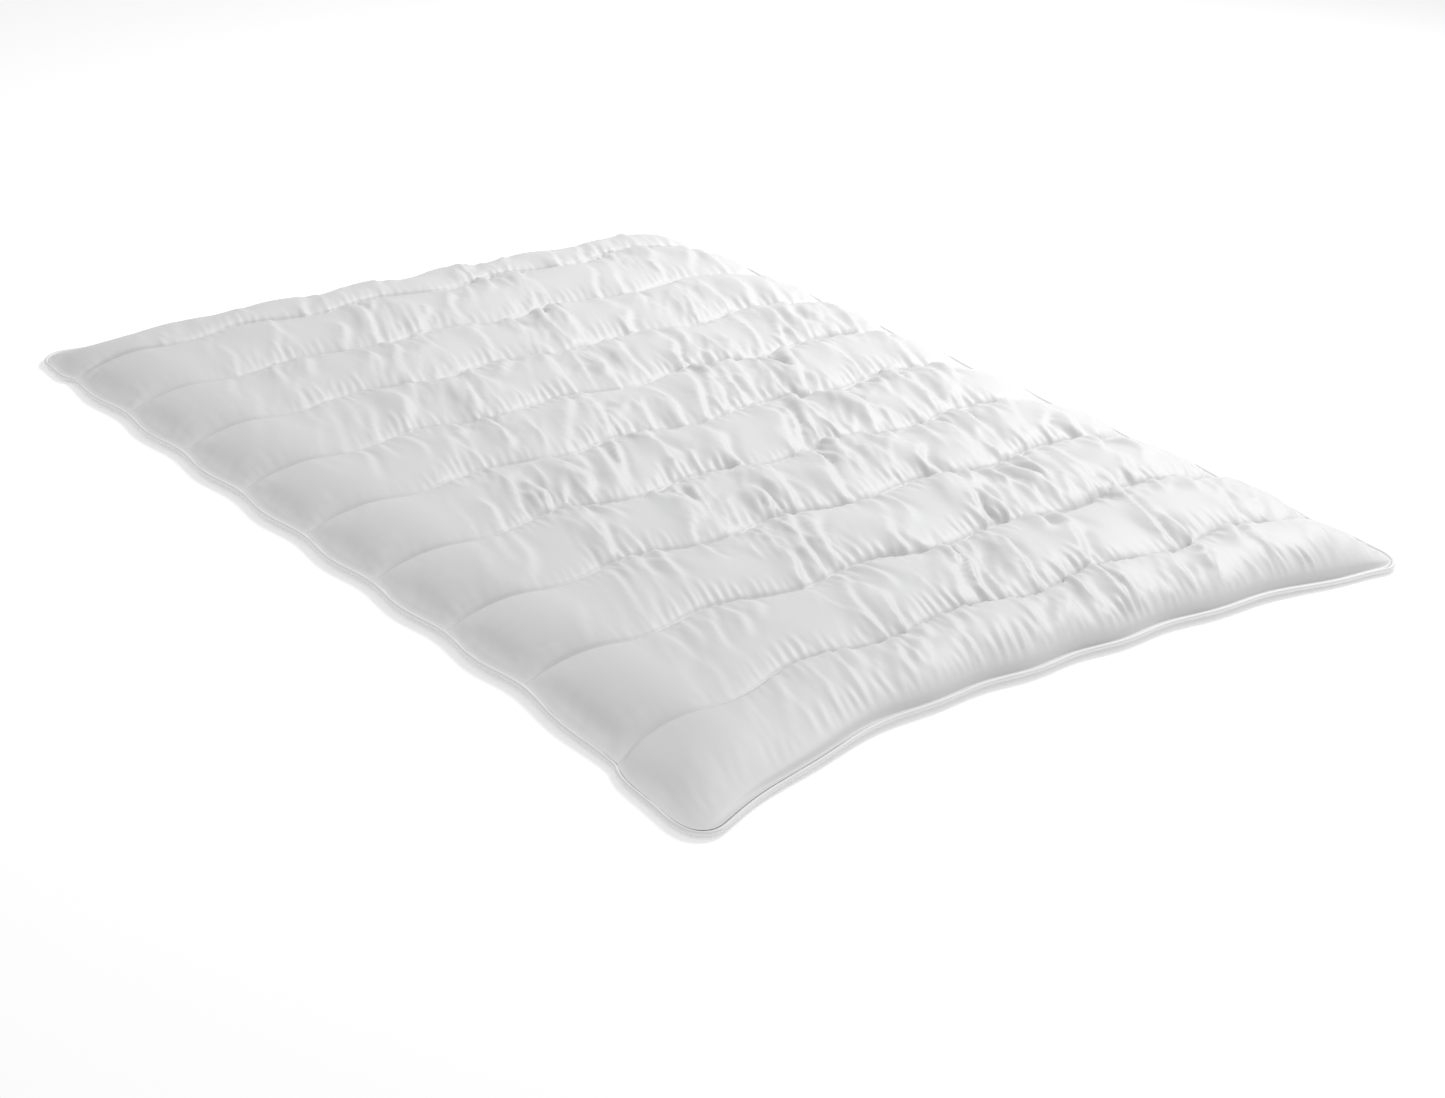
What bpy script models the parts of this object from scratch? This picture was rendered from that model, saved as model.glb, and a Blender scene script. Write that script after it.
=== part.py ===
"""A quilted duvet laid flat: two covers, ten filled channels, wave-quilted seams and a corded edge.

X runs across the width, Y from the foot to the head, Z up. The underside rests at Z = 0, and the
origin is under the middle of the duvet's box.
"""

import math

import bmesh
import bpy

# Driving dimensions, in metres.
WIDTH = 1.40  # between the centre lines of the two side pipings
INNER_CHANNELS = 8  # full channels, between the two end channels
CHANNEL_PITCH = 0.206  # from one quilting seam to the next
END_CHANNEL = 0.145  # from an outermost seam to the centre line of the end piping
CORNER_RADIUS = 0.055  # of the piping's centre line

LOFT = 0.065  # height of a full channel's crest
END_LOFT = 0.057  # height of an end channel's crest
SEAM_HEIGHT = 0.034  # height of the pinched seam's middle
EDGE_LIFT = 0.011  # height of the piping's centre line along the sides
CORNER_LIFT = 0.0075  # height of the piping's centre line at the corners
CORNER_DROOP = 0.22  # length over which the edge comes down to a corner
SIDE_RISE = 0.15  # width over which a channel rises from the edge to its full height

WAVE_LENGTH = 0.28  # of the quilting seams
WAVE_HEIGHT = 0.012  # each way from the seam's straight line
WAVE_START = 0.06  # from the left piping to the first crest of the wave
COLUMNS_PER_WAVE = 4

COVER_THICKNESS = 0.0004
SLEEVE_THICKNESS = 0.0004
GAP = 0.0003  # between layers that lie on each other
SEAM_FILL = 0.0008  # filling pressed between the covers at a quilting seam
FILL_CLEARANCE = 0.0018  # between a channel's filling and the covers
PIPING_CORD_RADIUS = 0.0028
CORNER_SKEW = 1.12  # how much further in the covers stay because a drawn-out corner slants them
FLANGE = 0.012  # width of the flat edge, where the covers hold the sleeve's legs
SLEEVE_LEG = 0.008  # how far the sleeve's legs reach in from the cord's centre line
THREAD_RADIUS = 0.00035

# How far each corner is drawn out of the plain rectangle, as (x, y), and how far along the
# sides that pull is felt.
CORNER_PULLS = {
    (-1, -1): (-0.055, -0.140),
    (1, -1): (-0.005, -0.048),
    (1, 1): (-0.030, -0.008),
    (-1, 1): (-0.004, 0.000),
}
PULL_ACROSS = 0.50
PULL_ALONG = 0.38

CHANNEL_ROWS = (0.2, 0.5, 0.8, 1.0)  # cross-section points of a full channel, as shares of it
FLAT_SHARE = 0.2  # of a channel on each side of its flat underside
PROFILE_POWER = 0.65  # under 1 makes a channel's cross-section fuller than a half sine
SIDE_POWER = 0.85

COVER_COLOUR = (0.86, 0.87, 0.89)
FILL_COLOUR = (0.93, 0.93, 0.92)
PIPING_COLOUR = (0.90, 0.91, 0.93)
THREAD_COLOUR = (0.80, 0.81, 0.83)

HALF_WIDTH = WIDTH / 2
SEAM_SPAN = INNER_CHANNELS * CHANNEL_PITCH
HALF_LENGTH = SEAM_SPAN / 2 + END_CHANNEL
ROLL_RADIUS = PIPING_CORD_RADIUS + GAP + SLEEVE_THICKNESS
COVER_INSET = ROLL_RADIUS * CORNER_SKEW + GAP
EDGE_STACK = 2 * COVER_THICKNESS + 2 * SLEEVE_THICKNESS + 3 * GAP
SEAM_STACK = 2 * COVER_THICKNESS + SEAM_FILL


def smooth(share):
    """0 up to 1 with level ends, and level outside."""
    share = min(1.0, max(0.0, share))
    return share * share * (3 - 2 * share)


def clear_scene():
    for obj in list(bpy.data.objects):
        bpy.data.objects.remove(obj, do_unlink=True)


def make_collection(name):
    collection = bpy.data.collections.new(name)
    bpy.context.scene.collection.children.link(collection)
    return collection


def make_material(name, colour, roughness):
    material = bpy.data.materials.new(name)
    material.use_nodes = True
    shader = material.node_tree.nodes["Principled BSDF"]
    shader.inputs["Base Color"].default_value = (*colour, 1.0)
    shader.inputs["Roughness"].default_value = roughness
    shader.inputs["Metallic"].default_value = 0.0
    material.diffuse_color = (*colour, 1.0)
    return material


# ---- the plan: where a point of the plain rectangle lies on the laid duvet


def seam_lines():
    """The straight lines that the quilting seams wave about, foot to head."""
    return [-SEAM_SPAN / 2 + n * CHANNEL_PITCH for n in range(INNER_CHANNELS + 1)]


def wave(x, y):
    """How far the quilting moves a point towards the head. It fades out across an end channel."""
    past_seam = max(0.0, abs(y) - SEAM_SPAN / 2)
    turn = 2 * math.pi * (x + HALF_WIDTH - WAVE_START) / WAVE_LENGTH
    return WAVE_HEIGHT * math.cos(turn) * (1 - past_seam / END_CHANNEL)


def corner_rounded(x, y, inset):
    """A point of the rectangle on the plan with round corners, its edge moved in by inset."""
    arc_x = HALF_WIDTH - CORNER_RADIUS
    arc_y = HALF_LENGTH - CORNER_RADIUS
    a = max(0.0, abs(x) - arc_x) / CORNER_RADIUS
    b = max(0.0, abs(y) - arc_y) / CORNER_RADIUS
    radius = CORNER_RADIUS - inset
    plan_x = min(abs(x), arc_x) + radius * a * math.sqrt(1 - b * b / 2)
    plan_y = min(abs(y), arc_y) + radius * b * math.sqrt(1 - a * a / 2)
    return math.copysign(plan_x, x), math.copysign(plan_y, y)


def corner_pull(x, y):
    """How far the drawn-out corners move a point of the plan."""
    move_x = move_y = 0.0
    for (side_x, side_y), (pull_x, pull_y) in CORNER_PULLS.items():
        across = max(0.0, 1 - (HALF_WIDTH - side_x * x) / PULL_ACROSS)
        along = max(0.0, 1 - (HALF_LENGTH - side_y * y) / PULL_ALONG)
        share = across**2 * along**2
        move_x += pull_x * share
        move_y += pull_y * share
    return move_x, move_y


def on_plan(x, y, inset=0.0):
    plan_x, plan_y = corner_rounded(x, y, inset)
    plan_y += wave(x, y)
    move_x, move_y = corner_pull(plan_x, plan_y)
    return plan_x + move_x, plan_y + move_y


# ---- the heights, at a point of the plain rectangle


def edge_distance(x, y):
    return min(HALF_WIDTH - abs(x), HALF_LENGTH - abs(y))


def edge_lift(x, y):
    """Height of the piping's centre line: lower at the corners than along the sides."""
    near_side = 1 - smooth((HALF_WIDTH - abs(x) - 2 * CORNER_RADIUS) / CORNER_DROOP)
    near_end = 1 - smooth((HALF_LENGTH - abs(y) - 2 * CORNER_RADIUS) / CORNER_DROOP)
    return EDGE_LIFT - (EDGE_LIFT - CORNER_LIFT) * near_side * near_end


def inside_share(x, y):
    """0 on the flat edge, and 1 where the side's rise is over."""
    return smooth((edge_distance(x, y) - FLANGE) / (SIDE_RISE - FLANGE))


def middle_height(x, y):
    """Height halfway between the covers where they are stitched together."""
    lift = edge_lift(x, y)
    return lift + (SEAM_HEIGHT - lift) * inside_share(x, y)


def stack(x, y):
    """Thickness of the two covers and what lies between them, where they are stitched together."""
    return EDGE_STACK + (SEAM_STACK - EDGE_STACK) * inside_share(x, y)


def channel_share(y):
    """Where a point lies across its channel, 0 at one seam and 1 at the next seam or flat edge."""
    past_seam = abs(y) - SEAM_SPAN / 2
    if past_seam > 0:
        return min(1.0, past_seam / (END_CHANNEL - FLANGE))
    return (y + SEAM_SPAN / 2) / CHANNEL_PITCH % 1.0


def side_share(x):
    return min(1.0, max(0.0, (HALF_WIDTH - abs(x) - FLANGE) / (SIDE_RISE - FLANGE)))


def top_height(x, y):
    """Height of the top cover's upper face."""
    crest = LOFT if abs(y) <= SEAM_SPAN / 2 else END_LOFT
    puff = math.sin(math.pi * channel_share(y)) if 0 < channel_share(y) < 1 else 0.0
    side = math.sin(math.pi / 2 * side_share(x))
    seam = middle_height(x, y) + stack(x, y) / 2
    return seam + (crest - seam) * puff**PROFILE_POWER * side**SIDE_POWER


def bottom_height(x, y):
    """Height of the bottom cover's lower face: 0 where the channel rests."""
    share = channel_share(y)
    rests = smooth(min(share, 1 - share) / FLAT_SHARE)
    rests *= smooth((HALF_WIDTH - abs(x) - FLANGE) / (CORNER_RADIUS - FLANGE))
    return (middle_height(x, y) - stack(x, y) / 2) * (1 - rests)


# ---- the grid lines that all the pieces share


def wave_columns():
    """Positions across the width on the wave's crests, dips and middles, clear of the corners."""
    step = WAVE_LENGTH / COLUMNS_PER_WAVE
    count = int(WIDTH / step) + 2
    margin = CORNER_RADIUS + step / 4
    places = [WAVE_START + (n - 1) * step for n in range(count)]
    return [place - HALF_WIDTH for place in places if margin < place < WIDTH - margin]


def edge_lines():
    """Distances in from an edge that follow the flat edge and the round corners."""
    return [0.0, FLANGE, (FLANGE + CORNER_RADIUS) / 2, CORNER_RADIUS]


def columns():
    left = [-HALF_WIDTH + line for line in edge_lines()]
    return left + wave_columns() + [-x for x in reversed(left)]


def rows():
    half_way = END_CHANNEL - (END_CHANNEL - CORNER_RADIUS) / 2
    foot = [-HALF_LENGTH + line for line in [*edge_lines(), half_way, END_CHANNEL]]
    seams = seam_lines()
    inner = [seam + share * CHANNEL_PITCH for seam in seams[:-1] for share in CHANNEL_ROWS]
    return foot + inner + [-y for y in reversed(foot[:-1])]


def border():
    """The points of the rectangle's edge, once round, where the grid lines meet it."""
    across, along = columns(), rows()
    foot = [(x, along[0]) for x in across]
    right = [(across[-1], y) for y in along[1:]]
    head = [(x, along[-1]) for x in reversed(across[:-1])]
    left = [(across[0], y) for y in reversed(along[1:-1])]
    return foot + right + head + left


def box_centre():
    """The middle of the plain plan's box, which is moved to the origin."""
    points = [on_plan(x, y) for x, y in border()]
    return [(min(values) + max(values)) / 2 for values in zip(*points, strict=True)]


class Frame:
    """Where the plan lies in the world."""

    def __init__(self):
        self.x, self.y = box_centre()

    def place(self, x, y, z, inset=0.0):
        plan_x, plan_y = on_plan(x, y, inset)
        return plan_x - self.x, plan_y - self.y, z


# ---- building


def add_object(name, data, material, collection):
    obj = bpy.data.objects.new(name, data)
    data.materials.append(material)
    collection.objects.link(obj)
    return obj


def grid_sheet(across, along):
    """A flat grid in bmesh, with its points also listed as rows of columns."""
    bm = bmesh.new()
    bmesh.ops.create_grid(bm, x_segments=len(across) - 1, y_segments=len(along) - 1, size=1.0)
    ordered = sorted(bm.verts, key=lambda v: (round(v.co.y, 5), round(v.co.x, 5)))
    wide = len(across)
    lines = [ordered[n * wide : (n + 1) * wide] for n in range(len(along))]
    return bm, lines


def finish_mesh(bm, name, smooth_faces=True):
    bmesh.ops.recalc_face_normals(bm, faces=bm.faces[:])
    mesh = bpy.data.meshes.new(name)
    bm.to_mesh(mesh)
    bm.free()
    if smooth_faces:
        mesh.shade_smooth()
        mesh.set_sharp_from_angle(angle=math.radians(60))
    return mesh


def make_cover(name, height, faces_up, frame, material, collection):
    """One sheet of cloth: an open surface at the outer face, with its thickness going inwards."""
    across, along = columns(), rows()
    bm, lines = grid_sheet(across, along)
    for y, line in zip(along, lines, strict=True):
        for x, vert in zip(across, line, strict=True):
            vert.co = frame.place(x, y, height(x, y), COVER_INSET)
    for face in bm.faces:
        face.normal_update()
        if (face.normal.z > 0) != faces_up:
            face.normal_flip()
    mesh = bpy.data.meshes.new(name)
    bm.to_mesh(mesh)
    bm.free()
    mesh.shade_smooth()
    obj = add_object(name, mesh, material, collection)
    wall = obj.modifiers.new("cloth thickness", "SOLIDIFY")
    wall.thickness = COVER_THICKNESS
    wall.offset = -1.0
    return obj


def make_fill(name, seam, share_rows, frame, material, collection):
    """The filling of one channel: a pad that follows the covers from inside, clear of both seams."""
    inner = [x for x in columns() if abs(x) <= HALF_WIDTH - CORNER_RADIUS + GAP]
    along = [seam + share for share in share_rows]
    bm, lines = grid_sheet(inner, along)
    under = [vert for line in lines for vert in line]
    places = [(x, y) for y in along for x in inner]
    for vert, (x, y) in zip(under, places, strict=True):
        low = bottom_height(x, y)
        clear = FILL_CLEARANCE if low > 0 else GAP
        vert.co = frame.place(x, y, low + COVER_THICKNESS + clear, COVER_INSET)
    made = bmesh.ops.extrude_face_region(bm, geom=bm.faces[:])["geom"]
    upper = {tuple(item.co): item for item in made if isinstance(item, bmesh.types.BMVert)}
    for vert, (x, y) in zip(under, places, strict=True):
        upper[tuple(vert.co)].co.z = top_height(x, y) - COVER_THICKNESS - FILL_CLEARANCE
    return add_object(name, finish_mesh(bm, name), material, collection)


def make_fills(frame, material, collection):
    """The pads, numbered from the head to the foot."""
    last_row = CHANNEL_ROWS[-2] * CHANNEL_PITCH
    full = [row * CHANNEL_PITCH for row in CHANNEL_ROWS if row * CHANNEL_PITCH <= last_row]
    half_way = (END_CHANNEL - CORNER_RADIUS) / 2
    end = [half_way, END_CHANNEL - CORNER_RADIUS]
    end.append(END_CHANNEL - edge_lines()[2])
    seams = seam_lines()
    starts = [(seams[-1], end)]
    starts += [(seam, full) for seam in reversed(seams[:-1])]
    starts += [(seams[0], [-share for share in reversed(end)])]
    for number, (seam, share_rows) in enumerate(starts, 1):
        name = f"channel_fill_{number:02d}"
        make_fill(name, seam, share_rows, frame, material, collection)


def make_line(name, points, radius, closed, material, collection):
    """A cord or thread: a tube along the points."""
    curve = bpy.data.curves.new(name, "CURVE")
    curve.dimensions = "3D"
    curve.twist_mode = "Z_UP"
    curve.bevel_depth = radius
    curve.bevel_resolution = 1 if closed else 0
    curve.use_fill_caps = not closed
    spline = curve.splines.new("POLY")
    spline.points.add(len(points) - 1)
    for point, place in zip(spline.points, points, strict=True):
        point.co = (*place, 1.0)
    spline.use_cyclic_u = closed
    return add_object(name, curve, material, collection)


def make_threads(frame, material, collection):
    """The two threads of each quilting seam, numbered from the head to the foot."""
    across = [x for x in columns() if abs(x) <= HALF_WIDTH - FLANGE]
    clear = GAP + THREAD_RADIUS
    for number, seam in enumerate(reversed(seam_lines()), 1):
        over, under = [], []
        for x in across:
            over.append(frame.place(x, seam, top_height(x, seam) + clear, COVER_INSET))
            under.append(frame.place(x, seam, bottom_height(x, seam) - clear, COVER_INSET))
        name = f"quilting_thread_top_{number}"
        make_line(name, over, THREAD_RADIUS, False, material, collection)
        name = f"quilting_thread_bottom_{number}"
        make_line(name, under, THREAD_RADIUS, False, material, collection)


def sleeve_roll():
    """The roll's middle line in cross-section, as (outwards, up), and half the gap between its legs."""
    radius = PIPING_CORD_RADIUS + GAP + SLEEVE_THICKNESS / 2
    leg = (GAP + SLEEVE_THICKNESS) / 2
    turn = math.asin(leg / radius)
    steps = 6
    arc = []
    for n in range(steps + 1):
        angle = math.pi - turn - n * 2 * (math.pi - turn) / steps
        arc.append((radius * math.cos(angle), radius * math.sin(angle)))
    return arc, leg


def make_sleeve(name, places, leg_ends, material, collection):
    """The strip round the piping cord: its roll stands square to the duvet's edge, and its two
    legs reach in along the covers' own lines."""
    arc, leg = sleeve_roll()
    bm = bmesh.new()
    rings = []
    count = len(places)
    for n, (x, y, z) in enumerate(places):
        before, after = places[n - 1], places[(n + 1) % count]
        along_x, along_y = after[0] - before[0], after[1] - before[1]
        length = math.hypot(along_x, along_y)
        out_x, out_y = along_y / length, -along_x / length
        roll = [(x + out * out_x, y + out * out_y, z + up) for out, up in arc]
        end_x, end_y, _ = leg_ends[n]
        section = [(end_x, end_y, z + leg), *roll, (end_x, end_y, z - leg)]
        rings.append([bm.verts.new(point) for point in section])
    for n, ring in enumerate(rings):
        following = rings[(n + 1) % count]
        for k in range(len(ring) - 1):
            bm.faces.new((ring[k], ring[k + 1], following[k + 1], following[k]))
    obj = add_object(name, finish_mesh(bm, name), material, collection)
    wall = obj.modifiers.new("cloth thickness", "SOLIDIFY")
    wall.thickness = SLEEVE_THICKNESS
    wall.offset = 0.0
    return obj


def make_piping(frame, cord_material, sleeve_material, collection):
    places = [frame.place(x, y, edge_lift(x, y)) for x, y in border()]
    make_line("piping_cord", places, PIPING_CORD_RADIUS, True, cord_material, collection)
    leg_ends = [frame.place(x, y, edge_lift(x, y), SLEEVE_LEG) for x, y in border()]
    make_sleeve("piping_sleeve", places, leg_ends, sleeve_material, collection)


def main():
    clear_scene()
    collection = make_collection("quilted_duvet")
    cover = make_material("satin cotton cover", COVER_COLOUR, 0.55)
    fill = make_material("soft filling", FILL_COLOUR, 0.95)
    piping = make_material("piping strip", PIPING_COLOUR, 0.6)
    cord = make_material("piping cord", FILL_COLOUR, 0.9)
    thread = make_material("quilting thread", THREAD_COLOUR, 0.5)
    frame = Frame()
    make_cover("top_cover", top_height, True, frame, cover, collection)
    make_cover("bottom_cover", bottom_height, False, frame, cover, collection)
    make_fills(frame, fill, collection)
    make_threads(frame, thread, collection)
    make_piping(frame, cord, piping, collection)


main()
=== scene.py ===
"""Dresses the frame of a quilted duvet: gathered covers, filling, stitches and a corded edge.
Everything is in metres, in the frame's own axes: X across, Y foot to head, Z up.
"""

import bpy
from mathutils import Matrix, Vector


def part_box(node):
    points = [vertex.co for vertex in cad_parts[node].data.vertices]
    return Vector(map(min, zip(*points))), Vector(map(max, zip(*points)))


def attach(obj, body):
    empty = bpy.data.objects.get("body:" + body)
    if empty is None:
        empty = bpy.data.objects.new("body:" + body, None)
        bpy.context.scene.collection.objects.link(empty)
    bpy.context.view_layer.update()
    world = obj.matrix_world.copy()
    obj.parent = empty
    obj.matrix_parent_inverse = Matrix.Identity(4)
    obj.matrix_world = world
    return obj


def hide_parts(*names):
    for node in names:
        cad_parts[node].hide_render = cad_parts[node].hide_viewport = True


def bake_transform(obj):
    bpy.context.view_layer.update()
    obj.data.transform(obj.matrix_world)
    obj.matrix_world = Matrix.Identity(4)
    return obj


bl_info = {
    "name": "Quilted Duvet",
    "version": (1, 0, 0),
    "blender": (4, 5, 0),
    "location": "3D View > Sidebar > Duvet",
    "description": "Covers, filling, stitches and a corded edge for a quilted duvet",
    "category": "Object",
}

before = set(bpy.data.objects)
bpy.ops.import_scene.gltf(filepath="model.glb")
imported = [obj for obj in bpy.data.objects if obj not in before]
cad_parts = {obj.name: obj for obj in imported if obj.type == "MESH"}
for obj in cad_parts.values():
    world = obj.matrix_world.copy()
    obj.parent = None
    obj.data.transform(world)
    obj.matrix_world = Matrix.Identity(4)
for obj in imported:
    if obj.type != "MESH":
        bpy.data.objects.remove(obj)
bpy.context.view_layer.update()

import math

import bmesh
import bpy
import numpy as np
from mathutils import Vector

# ---- the duvet's measures, in metres

SEAMS = 9
CHANNELS = 10
WIDTH = 1.40  # between the centre lines of the side pipings
CHANNEL_PITCH = 0.206
END_CHANNEL = 0.145
CORNER_RADIUS = 0.055
LOFT = 0.063
END_LOFT = 0.056
SEAM_HEIGHT = 0.037
EDGE_LIFT = 0.011
CORNER_LIFT = 0.0075
CORNER_DROOP = 0.22
SIDE_RISE = 0.15
SIDE_POWER = 0.85
WAVE_LENGTH = 0.28
WAVE_HEIGHT = 0.012
WAVE_START = 0.06
FLANGE = 0.006
EDGE_STACK = 0.0025  # covers and piping legs at the flat edge
SEAM_STACK = 0.0016  # both covers at a quilting seam
CORNER_PULLS = {
    (-1, -1): (-0.055, -0.140),
    (1, -1): (-0.005, -0.048),
    (1, 1): (-0.030, -0.008),
    (-1, 1): (-0.004, 0.000),
}
PULL_ACROSS = 0.50
PULL_ALONG = 0.38
BULGE_REACH = 0.12  # the edge's swelling, inwards from the edge
BULGE_FADE = 0.15  # and how far from a corner it is full
SCALLOP_LENGTH = 0.21
CORD_RADIUS = 0.0028
ROLL_RADIUS = 0.0034
LEG_INSET = 0.008  # from the piping's centre line to the ends of its legs
EDGE_STEP = 0.006
COVER_INSET = 0.0037
FLAT_SHARE = 0.2
FILL_LIFT = 0.0015
FILL_SHARE = 0.80  # of the plain pad's height
TUFT_SHARE = 0.008
FILL_CLEAR_ABOVE = 0.011  # room for the top cover's folds
FILL_CLEAR_BELOW = 0.007  # and for the bottom cover's
GROUND_SLACK = 0.0015  # the underside's folds stand this far clear of the floor
END_FALL = 0.52  # below 1, an end channel is fullest near its seam and slopes to the edge
THREAD_RADIUS = 0.00035
STITCH_SHARE = 0.66  # of a stitch and its gap together
POINTS_PER_STITCH = 3

HALF_WIDTH = WIDTH / 2
SEAM_SPAN = (SEAMS - 1) * CHANNEL_PITCH
HALF_LENGTH = SEAM_SPAN / 2 + END_CHANNEL
HEAD_BODY, FOOT_BODY = "head_half", "foot_half"
MIDDLE_THREAD = "quilting_thread_top_5"


def middle_of(node):
    low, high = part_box(node)
    return np.array([(a + b) / 2 for a, b in zip(low, high, strict=True)])


MIDDLE = middle_of(MIDDLE_THREAD)  # under the middle of the middle seam


# ---- the plan and the heights, for arrays of points of the plain rectangle


def smooth(share):
    share = np.clip(share, 0.0, 1.0)
    return share * share * (3 - 2 * share)


def wave(x, y):
    past_seam = np.maximum(0.0, np.abs(y) - SEAM_SPAN / 2)
    turn = 2 * np.pi * (x + HALF_WIDTH - WAVE_START) / WAVE_LENGTH
    return WAVE_HEIGHT * np.cos(turn) * (1 - past_seam / END_CHANNEL)


def corner_rounded(x, y, inset):
    arc_x, arc_y = HALF_WIDTH - CORNER_RADIUS, HALF_LENGTH - CORNER_RADIUS
    a = np.maximum(0.0, np.abs(x) - arc_x) / CORNER_RADIUS
    b = np.maximum(0.0, np.abs(y) - arc_y) / CORNER_RADIUS
    radius = CORNER_RADIUS - inset
    plan_x = np.minimum(np.abs(x), arc_x) + radius * a * np.sqrt(1 - b * b / 2)
    plan_y = np.minimum(np.abs(y), arc_y) + radius * b * np.sqrt(1 - a * a / 2)
    return np.copysign(plan_x, x), np.copysign(plan_y, y)


def corner_pull(x, y):
    move_x, move_y = np.zeros_like(x), np.zeros_like(x)
    for (side_x, side_y), (pull_x, pull_y) in CORNER_PULLS.items():
        across = np.maximum(0.0, 1 - (HALF_WIDTH - side_x * x) / PULL_ACROSS)
        along = np.maximum(0.0, 1 - (HALF_LENGTH - side_y * y) / PULL_ALONG)
        share = across**2 * along**2
        move_x += pull_x * share
        move_y += pull_y * share
    return move_x, move_y


def edge_bulge(x, y):
    """The filling pushes the sides out between the seams, and the head edge into scallops."""
    sizes = bpy.context.scene.duvet_sizes
    near_side = smooth((np.abs(x) - HALF_WIDTH + BULGE_REACH) / BULGE_REACH)
    between = np.sin(np.pi * channel_share(y)) ** 2 - 0.5
    corner = smooth((HALF_LENGTH - np.abs(y)) / BULGE_FADE)
    out_x = np.sign(x) * sizes.side_bulge * between * near_side * corner
    near_end = smooth((np.abs(y) - HALF_LENGTH + BULGE_REACH) / BULGE_REACH)
    turn = 2 * np.pi * (x + HALF_WIDTH) / SCALLOP_LENGTH + 1.1 * np.sin(5.3 * x)
    round_end = smooth((HALF_WIDTH - np.abs(x)) / BULGE_FADE)
    strength = np.where(y > 0, sizes.side_bulge, 0.35 * sizes.side_bulge)
    out_y = np.sign(y) * strength * np.cos(turn) * near_end * round_end
    return out_x, out_y


def on_plan(x, y, inset=0.0):
    plan_x, plan_y = corner_rounded(x, y, inset)
    plan_y = plan_y + wave(x, y)
    move_x, move_y = corner_pull(plan_x, plan_y)
    out_x, out_y = edge_bulge(x, y)
    return plan_x + move_x + out_x + MIDDLE[0], plan_y + move_y + out_y + MIDDLE[1]


def plain_of(plan_x, plan_y):
    """The point of the plain rectangle that lies at a point of the plan."""
    x, y = plan_x - MIDDLE[0], plan_y - MIDDLE[1]
    for _ in range(8):
        laid_x, laid_y = on_plan(x, y)
        x, y = x + plan_x - laid_x, y + plan_y - laid_y
    return x, y


def edge_distance(x, y):
    return np.minimum(HALF_WIDTH - np.abs(x), HALF_LENGTH - np.abs(y))


def edge_lift(x, y):
    near_side = 1 - smooth((HALF_WIDTH - np.abs(x) - 2 * CORNER_RADIUS) / CORNER_DROOP)
    near_end = 1 - smooth((HALF_LENGTH - np.abs(y) - 2 * CORNER_RADIUS) / CORNER_DROOP)
    return EDGE_LIFT - (EDGE_LIFT - CORNER_LIFT) * near_side * near_end


def inside_share(x, y):
    return smooth((edge_distance(x, y) - FLANGE) / (SIDE_RISE - FLANGE))


def middle_height(x, y):
    lift = edge_lift(x, y)
    return lift + (SEAM_HEIGHT - lift) * inside_share(x, y)


def stack(x, y):
    return EDGE_STACK + (SEAM_STACK - EDGE_STACK) * inside_share(x, y)


def channel_share(y):
    """Where a point lies across its channel: 0 and 1 at its two seams or at the flat edge."""
    past_seam = np.abs(y) - SEAM_SPAN / 2
    end = np.clip(past_seam / (END_CHANNEL - FLANGE), 0.0, 1.0) ** END_FALL
    inner = (y + SEAM_SPAN / 2) / CHANNEL_PITCH
    return np.where(past_seam > 0, end, inner - np.floor(inner))


def side_share(x):
    return np.clip((HALF_WIDTH - np.abs(x) - FLANGE) / (SIDE_RISE - FLANGE), 0.0, 1.0)


def relief_share(x, y):
    """Less filling along the left side, and least in the drawn-out corner of the foot."""
    from_left, from_foot = x + HALF_WIDTH, y + HALF_LENGTH
    side = 0.50 + 0.50 * smooth(from_left / 0.45)
    return side * (1 - 0.50 * np.exp(-((from_left / 0.40) ** 2 + (from_foot / 0.30) ** 2)))


def top_height(x, y):
    sizes = bpy.context.scene.duvet_sizes
    crest = np.where(np.abs(y) <= SEAM_SPAN / 2, LOFT, END_LOFT)
    puff = np.sin(np.pi * channel_share(y)).clip(0.0, 1.0)
    side = np.sin(np.pi / 2 * side_share(x))
    seam = middle_height(x, y) + stack(x, y) / 2
    rise = (crest - seam) * relief_share(x, y)
    return seam + rise * puff**sizes.fullness * side**SIDE_POWER


def bottom_height(x, y):
    share = channel_share(y)
    rests = smooth(np.minimum(share, 1 - share) / FLAT_SHARE)
    rests = rests * smooth((HALF_WIDTH - np.abs(x) - FLANGE) / (CORNER_RADIUS - FLANGE))
    return (middle_height(x, y) - stack(x, y) / 2) * (1 - rests)


def seam_places():
    """The seams' straight lines, foot to head."""
    return np.array([-SEAM_SPAN / 2 + n * CHANNEL_PITCH for n in range(SEAMS)])


# ---- the grid of a cover

PLAIN_WIDTH = 0.16  # of the smooth left side, where the columns stand wider apart
TOP_GRID = {"column_step": 0.0038, "plain_step": 0.0062, "rows_full": 28, "rows_end": 18}
BOTTOM_GRID = {"column_step": 0.0060, "plain_step": 0.0070, "rows_full": 20, "rows_end": 14}


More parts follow.
